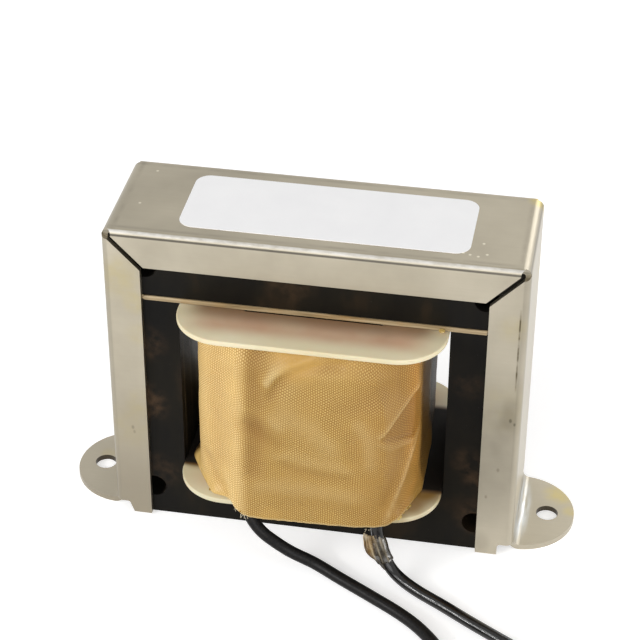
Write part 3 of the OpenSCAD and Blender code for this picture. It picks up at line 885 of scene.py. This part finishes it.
def addDrops(s):
    whole = bmesh.new()
    wide, deep, high = s["shape"]
    for at, size in s["rows"]:
        centre = Vector(at)
        made = bmesh.ops.create_icosphere(whole, subdivisions=3, radius=size * mm)["verts"]
        for vert in made:
            bend = 1 + s["uneven"] * noise.noise(vert.co * s["grain"] + centre)
            x, y, z = vert.co
            vert.co = Vector((x * wide * bend, y * deep, z * high * bend)) + centre * mm
    drops = fromBmesh("varnishDrops", whole)
    smooth(drops, 180)
    return drops


drops = addDrops(dropSet)
finishPiece(drops, mottledMaterial("clearVarnish", 900, 2, ((0.5, 0.3, 0.06), (0.8, 0.6, 0.2)), None,
                                   IOR=1.52, Transmission_Weight=0.35, Roughness=0.06), "varnish_sleeve")

# Bobbin: the solid's own shape with its moulded edges rounded
bobbinSet = {
    "edge": 0.32, "segments": 3, "sharpest": 40, "merge": 0.002, "flattest": 0.6, "shadeAngle": 35,
    # core varnish that ran onto the lower flange, darker beside the tape as painted shade
    "ambersAndShade": [((24.5, -15, 15.9), 6.6, 1.0), ((-25.5, -13.5, 15.9), 4.2, 0.7),
               ((22.4, -20.5, 15.9), 4.6, 0.7), ((20, -24.4, 15.9), 3.6, 0.5)],
}


def roundedCopy(node, name, s):
    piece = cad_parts[node].copy()
    piece.data = piece.data.copy()
    piece.parent = None
    piece.name = name
    bpy.context.scene.collection.objects.link(piece)
    makeActive(piece)
    bpy.ops.object.mode_set(mode="EDIT")
    bpy.ops.mesh.select_all(action="SELECT")
    bpy.ops.mesh.remove_doubles(threshold=s["merge"] * mm)
    bpy.ops.mesh.dissolve_limited(angle_limit=math.radians(s["flattest"]))
    bpy.ops.object.mode_set(mode="OBJECT")
    edges = piece.modifiers.new("edges", "BEVEL")
    edges.width, edges.segments = s["edge"] * mm, s["segments"]
    edges.limit_method, edges.angle_limit = "ANGLE", math.radians(s["sharpest"])
    edges.use_clamp_overlap = True
    applyModifiers(piece)
    smooth(piece, s["shadeAngle"])
    return piece


bobbin = roundedCopy("bobbin", "bobbinMoulding", bobbinSet)


def nylonMaterial(s):
    material, shader, spots = newMaterial(
        "ivoryNylon", IOR=1.45, Subsurface_Weight=0.2, Subsurface_Scale=0.0015,
        Subsurface_Radius=(1.0, 0.6, 0.35), Specular_IOR_Level=0.18)
    x, y, z = axes(spots)
    reach, depth = calc("ABSOLUTE", x), calc("ABSOLUTE", y)

    def fade(value, start, end):
        return rise(value, start * mm, end * mm, interpolation_type="SMOOTHSTEP")

    age = cloud(spots, 90, 3)
    base = ramp(age, (0.3, (0.66, 0.58, 0.38)), (0.7, (0.73, 0.66, 0.47)))
    # the winding shines through as a pink zone; towards the core it turns brown, partly the winding and
    # partly painted shade under the bar
    uneven = ramp(cloud(spots, 120, 2), (0.3, 0.7), (0.6, 1.0))
    base = blend(times(fade(depth, 24.4, 19.5), fade(reach, 27.5, 19), uneven), base, (0.56, 0.36, 0.235))
    brown = times(fade(depth, 19.5, 13.9), fade(reach, 29, 22), fade(z, 30, 34), 0.85)
    base = blend(brown, base, (0.2, 0.115, 0.055))
    # the lower flange a little greyer; towards and inside the window, painted shade that darkens to near
    # black, partly a varnish stain, and rougher there
    low = fade(z, 19, 17)
    base = blend(low, base, tinted(base, (0.88, 0.9, 0.9)))
    # amber varnish stains, with painted shade beside the tape
    base = stain(base, spots, s["ambersAndShade"], (0.26, 0.15, 0.035))
    base = blend(times(fade(depth, 16.4, 14.9), low), base, (0.1, 0.055, 0.02))
    # painted shade inside the window, partly varnish stain
    windowShadeAndVarnish = times(fade(depth, 15.3, 14.3), low)
    base = blend(windowShadeAndVarnish, base, (0.008, 0.006, 0.004))
    feed(shader, Base_Color=base,
         Roughness=calc("MULTIPLY_ADD", windowShadeAndVarnish, 0.5, ramp(age, (0.3, 0.28), (0.7, 0.4))))
    bump(shader, cloud(spots, 1400, 3), 0.00003, 0.4)
    return material


finishPiece(bobbin, nylonMaterial(bobbinSet), "bobbin_nylon", "bobbin")
print("bobbin rounded")

# Bracket: cold-rolled sheet under a thin varnish. Stains are a centre and a radius in millimetres,
# and how much they cover; other places and widths are in metres
steelSet = {
    "yellow": (0.46, 0.37, 0.12), "line": (0.24, 0.215, 0.165), "footShade": (0.27, 0.235, 0.175),
    "dry": (0.68, 0.63, 0.5), "lit": (0.68, 0.66, 0.62), "dark": (0.04, 0.035, 0.027),
    "scratch": (0.085, 0.065, 0.028), "smudge": (0.14, 0.12, 0.08), "bareAndHighlight": (0.62, 0.66, 0.69),
    "holeShade": (0.06, 0.047, 0.03),
    "holeX": 50.8, "holeRadius": 0.00243,
    # varnish that ran and yellowed
    "runs": [((43.4, 13.4, 73), 3.4, 1.0), ((53.2, 7.2, 1.2), 4.8, 0.6), ((56, 1.5, 1.2), 2.6, 0.45),
             ((-41.5, -14.4, 63), 7, 0.3), ((-51, 3, 1.2), 2.6, 0.25), ((-40, -14.4, 24), 8, 0.2),
             ((43, 13, 60), 6, 0.4), ((41, -14.4, 40), 9, 0.12), ((-37.4, -14.4, 57), 4, 0.28),
             ((-37, -14.4, 49), 4, 0.2), ((-37, -14.4, 31), 5, 0.22), ((41.6, -14.4, 60), 4.5, 0.2)],
    # drops of varnish that dried on the top
    "drops": [((x, y, 74.1), 0.42, 0.8) for x, y in (
        (-38.3, 10.4), (-38.8, -3.1), (31.4, -10.4), (33.1, -10.8), (34.8, -9.8), (30.0, -9.9),
        (33.7, -5.8))],
    # smudges and scuffs on the flanges, taller than wide
    "tall": 0.6,
    "smudges": [((41.6, -14.95, 37.6), 2.4, 0.2), ((41.2, -14.95, 34.4), 3.0, 0.14),
                ((41.9, -14.95, 40.6), 2.4, 0.14), ((37.5, -14.95, 3.2), 2.6, 0.16),
                ((42.1, -14.95, 37.0), 0.45, 0.85), ((43.0, -14.9, 36.1), 0.36, 0.75),
                ((-39.6, -14.95, 24.0), 0.45, 0.5), ((-39.3, -14.95, 22.8), 0.4, 0.4),
                ((38.0, -14.95, 16.0), 0.4, 0.4), ((40.2, -14.95, 23.6), 0.45, 0.4)],
}


def steelMaterial(s):
    material, shader, spots = newMaterial("bracketSteel", Metallic=1.0, Coat_Weight=0.35, Coat_Roughness=0.3)
    x, y, z = axes(spots)
    wide, deep = calc("ABSOLUTE", x), calc("ABSOLUTE", y)
    roll = cloud(stretch(spots, (60, 1800, 1800)), 1, 4)
    grain = cloud(spots, 2600, 3, 0.6)
    patch = cloud(spots, 65, 4, 0.55)
    speckle = cloud(spots, 420, 3)
    base = ramp(patch, (0.3, (0.385, 0.345, 0.265)), (0.5, (0.43, 0.388, 0.302)), (0.72, (0.475, 0.43, 0.34)))
    base = blend(times(ramp(roll, (0.35, 0.0), (0.7, 1.0)), 0.12), base, (0.34, 0.31, 0.26))
    # painted shade: faint dark lines just inside the bends of the top
    top = calc("GREATER_THAN", z, 0.0736)
    ragged = ramp(cloud(spots, 260, 3), (0.35, 0.15), (0.65, 1.0))
    for out, line in ((deep, 0.0129), (wide, 0.042)):
        base = blend(times(strip(out, line, 0.0008, 0.0), top, ragged, 0.5), base, s["line"])
    # painted shade: the faces that lie flat are darker, less so on the left foot
    lying = rise(axes(addNode(shader.id_data, "NewGeometry").outputs["Normal"])[2], 0.6, 0.95)
    leftFoot = calc("LESS_THAN", x, -0.0443)
    flatShade = times(lying, calc("MULTIPLY_ADD", leftFoot, -0.6, 1.0))
    base = blend(flatShade, base, tinted(base, (0.84, 0.83, 0.8)))
    base = stain(base, spots, s["runs"], s["yellow"], ramp(speckle, (0.3, 0.3), (0.6, 1.0)))
    # painted shade: the left web and flange darken towards the foot, less on the faces that lie flat
    footShade = times(rise(z, 0.04, 0.008), calc("LESS_THAN", x, 0.0), calc("MULTIPLY_ADD", lying, -0.6, 0.75))
    base = blend(footShade, base, s["footShade"])
    base = stain(base, spots, s["drops"], s["dry"])
    # painted highlight and painted shade on the bends: a light band along the top's front and back bends, a
    # dark line just under it along all the top bends, and dark lines down the webs' bends
    facing = calc("GREATER_THAN", deep, 0.014)
    bendShade = times(strip(z, 0.0731, 0.00036, 0.00014), calc("MULTIPLY_ADD", facing, 0.48, 0.42))
    wearAndSheen = ramp(cloud(stretch(spots, (0.5, 1, 1)), 700, 4, 0.6), (0.3, 0.4), (0.6, 0.95))
    base = blend(times(strip(z, 0.0738, 0.00034, 0.0001), facing, wearAndSheen), base, s["lit"])
    webBendShade = times(rise(wide, 0.0428, 0.0431), calc("GREATER_THAN", deep, 0.0134),
                    calc("MULTIPLY_ADD", rise(z, 0.01, 0.045), 0.14, 0.06))
    base = blend(calc("MAXIMUM", bendShade, webBendShade), base, s["dark"])
    # a dark scratch down the start of the right flange's bend
    scratch = times(strip(x, 0.0427, 0.00026, 0.00008), strip(z, 0.0548, 0.0105, 0.0075),
                    calc("LESS_THAN", y, -0.0144), ramp(speckle, (0.35, 0.25), (0.6, 0.95)))
    base = blend(scratch, base, s["scratch"])
    smudges = [((a, b, c * s["tall"]), radius, cover) for (a, b, c), radius, cover in s["smudges"]]
    base = stain(base, stretch(spots, (1, 1, s["tall"])), smudges, s["smudge"])
    # the right foot's bend: painted highlight, partly bare rubbed metal
    wearAndPaintedLight = times(spot(stretch(spots, (1, 0.22, 1)), (44.7, 0, 2.2), 3.2),
                   ramp(cloud(stretch(spots, (1, 0.1, 1)), 1500, 3), (0.35, 0.2), (0.6, 1.0)), 0.8)
    base = blend(wearAndPaintedLight, base, s["bareAndHighlight"])
    # painted shade on the walls of the two mounting holes
    for side in (-1, 1):
        hole = distance(stretch(spots, (1, 1, 0)), (side * s["holeX"], 0, 0))
        base = blend(calc("LESS_THAN", hole, s["holeRadius"]), base, s["holeShade"])
    feed(shader, Base_Color=base, Roughness=ramp(patch, (0.3, 0.38), (0.7, 0.5)))
    bump(shader, calc("MULTIPLY_ADD", roll, 0.5, times(grain, 0.5)), 0.00003, 0.45)
    return material


# Core: black varnish with brown blots that are partly smudges and partly painted reflections, and pale
# specks, places and radii in millimetres
coreSet = {
    "bareAndHighlight": (0.14, 0.115, 0.085), "brown": (0.085, 0.05, 0.027), "pale": (0.26, 0.24, 0.21),
    "front": -13.7, "speckFront": -14,
    "blotsAndSheen": [((-38, 30), 7.5, 0.75), ((33, 44), 4.5, 0.2), ((33.5, 24), 5, 0.25), ((-5, 66), 8, 0.25),
              ((36, 9), 6, 0.5), ((-34, 12), 6, 0.3), ((-36, 46), 6, 0.35), ((37, 20), 6, 0.4)],
    "specks": [(32.9, 33.5), (35.2, 38.6), (25.8, 3.9), (-33.4, 6.4), (-2.6, 64.1), (-31, 41), (12, 62.5),
               (34.4, 52)],
}


def coreMaterial(s):
    material, shader, spots = newMaterial("coreVarnish", IOR=1.5, Specular_IOR_Level=0.07)
    smudge = cloud(stretch(spots, (1, 1, 0.45)), 75, 4, 0.55)
    base = ramp(smudge, (0.35, (0.006, 0.0055, 0.005)), (0.55, (0.010, 0.0085, 0.006)),
                (0.8, (0.034, 0.02, 0.01)))
    # the sheets' own edges on the faces turned sideways, drawn lighter: partly bare steel between the
    # varnish, partly painted highlights
    sheets = ramp(cloud(stretch(spots, (12, 620, 12)), 1, 3, 0.7), (0.5, 0.0), (0.68, 1.0))
    turned = calc("ABSOLUTE", axes(addNode(shader.id_data, "NewGeometry").outputs["Normal"])[0])
    fade = ramp(cloud(stretch(spots, (1, 1, 0.6)), 60, 2), (0.35, 0.2), (0.65, 1.0))
    base = blend(times(sheets, calc("GREATER_THAN", turned, 0.7), fade, 0.8), base, s["bareAndHighlight"])
    # brown blots: smudges, and painted brownish reflections
    blotsAndSheen = [((a, s["front"], b), radius, cover) for (a, b), radius, cover in s["blotsAndSheen"]]
    ragged = ramp(cloud(spots, 300, 4, 0.6), (0.4, 0.0), (0.65, 1.0))
    base = stain(base, spots, blotsAndSheen, s["brown"], ragged)
    specks = [((a, s["speckFront"], b), 0.34, 0.8) for a, b in s["specks"]]
    base = stain(base, spots, specks, s["pale"])
    feed(shader, Base_Color=base, Roughness=ramp(smudge, (0.35, 0.28), (0.7, 0.45)))
    bump(shader, cloud(spots, 500, 4, 0.6), 0.00004, 0.35)
    return material


def boardMaterial():
    material, shader, spots = newMaterial("varnishedBoard", IOR=1.5, Coat_Weight=0.3, Coat_Roughness=0.2)
    fibre = cloud(stretch(spots, (90, 900, 2600)), 1, 4)
    soaked = ramp(cloud(stretch(spots, (1, 1, 0.2)), 160, 3), (0.5, 0.0), (0.75, 0.6))
    base = ramp(fibre, (0.3, (0.2, 0.135, 0.06)), (0.55, (0.36, 0.27, 0.15)), (0.8, (0.52, 0.42, 0.26)))
    feed(shader, Base_Color=blend(soaked, base, (0.36, 0.2, 0.06)),
         Roughness=ramp(fibre, (0.3, 0.35), (0.7, 0.6)))
    bump(shader, fibre, 0.00005, 0.5)
    return material


def copperMaterial():
    material, shader, spots = newMaterial("enamelledCopper", Metallic=1.0)
    wire = 0.0005
    turns = calc("SINE", times(axes(spots)[2], 2 * math.pi / wire))
    feed(shader, Base_Color=ramp(turns, (0.2, (0.3, 0.1, 0.04)), (0.8, (0.72, 0.32, 0.14))),
         Roughness=ramp(turns, (0.2, 0.45), (0.8, 0.28)))
    bump(shader, turns, 0.0001, 0.6)
    return material


steel, core, board = steelMaterial(steelSet), coreMaterial(coreSet), boardMaterial()
film = mottledMaterial("amberFilm", 200, 3, ((0.45, 0.29, 0.12), (0.62, 0.45, 0.22)), (0.2, 0.35), IOR=1.6)
label = mottledMaterial("whiteLabel", 120, 3, ((0.96, 0.955, 0.96), (0.99, 0.985, 0.985)), (0.28, 0.38),
                        (1800, 2, 0.00001, 0.3), IOR=1.5, Coat_Weight=0.6, Coat_Roughness=0.25)
dressed = {
    "channel_bracket": steel, "e_stack": core, "i_stack": core, "gap_spacer": board,
    "winding": copperMaterial(), "inner_wrap": film, "lead_pad": board,
    "splice_left": tinned, "splice_right": tinned,
    "splice_cover_left": film, "splice_cover_right": film, "label": label,
}
for node, material in dressed.items():
    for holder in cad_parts[node].material_slots:
        holder.material = material
for node in ("channel_bracket", "e_stack", "i_stack"):
    smooth(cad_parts[node], 30)
print("solids dressed")

# Floor, world and lamps
stageSet = {"size": 4.0, "floorGrey": 0.8, "skyLight": 0.38, "skySeen": 1.0, "floorGlow": 0.5}


def seenDirectly(node):
    rays = addNode(node.id_data, "LightPath").outputs
    mirrored = calc("MAXIMUM", rays["Is Glossy Ray"], rays["Is Transmission Ray"])
    return calc("MAXIMUM", rays["Is Camera Ray"], mirrored)


def addStage(s):
    bpy.ops.mesh.primitive_plane_add(size=s["size"])
    floor = bpy.context.object
    floor.name = "floor"
    white = (1, 1, 1, 1)
    material, shader, spots = newMaterial("floorPaper", Roughness=0.9, Specular_IOR_Level=0.0,
                                          Emission_Color=white)
    grey = s["floorGrey"]
    feed(shader, Base_Color=ramp(cloud(spots, 3, 2), (0.3, grey), (0.7, grey + 0.01)),
         Emission_Strength=times(seenDirectly(shader), s["floorGlow"]))
    floor.data.materials.append(material)

    world = bpy.data.worlds.new("studio")
    bpy.context.scene.world = world
    world.use_nodes = True
    sky = world.node_tree.nodes["Background"]
    sky.inputs["Color"].default_value = white
    feed(sky, Strength=calc("MULTIPLY_ADD", seenDirectly(sky), s["skySeen"] - s["skyLight"], s["skyLight"]))


lamps = [
    # name, place, aims at, width and height, power
    ("keyLamp", (-0.66, -0.6, 0.42), (0, 0, 0.03), (0.6, 0.6), 3.9),
    ("flashLamp", (0.14, -0.95, 0.4), (0, -0.02, 0.03), (0.7, 0.7), 4.1),
    ("rightLamp", (0.82, -0.12, 0.12), (0, 0, 0.04), (0.5, 0.2), 3.8),
    ("sparkLamp", (-0.63, -0.48, 0.4), (0.03, -0.04, 0.01), (0.36, 0.03), 1.6),
    ("backLamp", (0.3, 0.75, 0.42), (0, 0, 0.05), (0.4, 0.4), 1.7),
]


def addLamp(name, at, aim, size, power):
    bpy.ops.object.light_add(type="AREA", location=at)
    lamp = bpy.context.object
    lamp.name = name
    lamp.data.shape = "RECTANGLE"
    lamp.data.size, lamp.data.size_y = size
    lamp.data.energy = power
    lamp.rotation_euler = (Vector(aim) - Vector(at)).to_track_quat("-Z", "Y").to_euler()


addStage(stageSet)
for row in lamps:
    addLamp(*row)
bpy.context.scene.view_settings.view_transform = "Standard"
print("stage lit")
